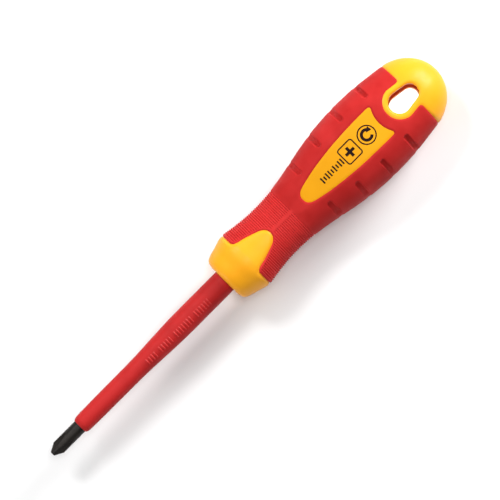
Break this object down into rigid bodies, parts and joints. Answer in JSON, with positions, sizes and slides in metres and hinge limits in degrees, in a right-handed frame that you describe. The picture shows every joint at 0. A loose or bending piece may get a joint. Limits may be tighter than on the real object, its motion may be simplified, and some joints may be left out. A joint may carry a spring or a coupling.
{
  "type": "insulated screwdriver",
  "caption": "Insulated cross-head screwdriver: black blade in a red sleeve, and an oval red and yellow moulded handle with a guard collar, notched grip and hanging slot.",
  "frame": {"origin": "centre of the end flat of the cross tip, on the blade's axis", "axes": "+X along the blade's axis from the tip to the handle's end, +Z straight out of the front label panel, +Y across the handle's width"},
  "size_m": [0.2224, 0.0374, 0.0324],
  "materials": {
    "black_steel": "black finished tool steel, satin",
    "sleeve_red": "smooth moulded insulation, satin",
    "core_red": "hard moulded plastic",
    "grip_red": "soft moulded elastomer, fine matte",
    "moulded_yellow": "hard moulded plastic, satin"
  },
  "bodies": {
    "root": {"blade": "black_steel", "blade_insulation": "sleeve_red", "handle_core": "core_red", "front_collar": "moulded_yellow", "soft_grip": "grip_red", "label_panel_front": "moulded_yellow", "label_panel_back": "moulded_yellow", "end_cap": "moulded_yellow"}
  },
  "joints": []
}
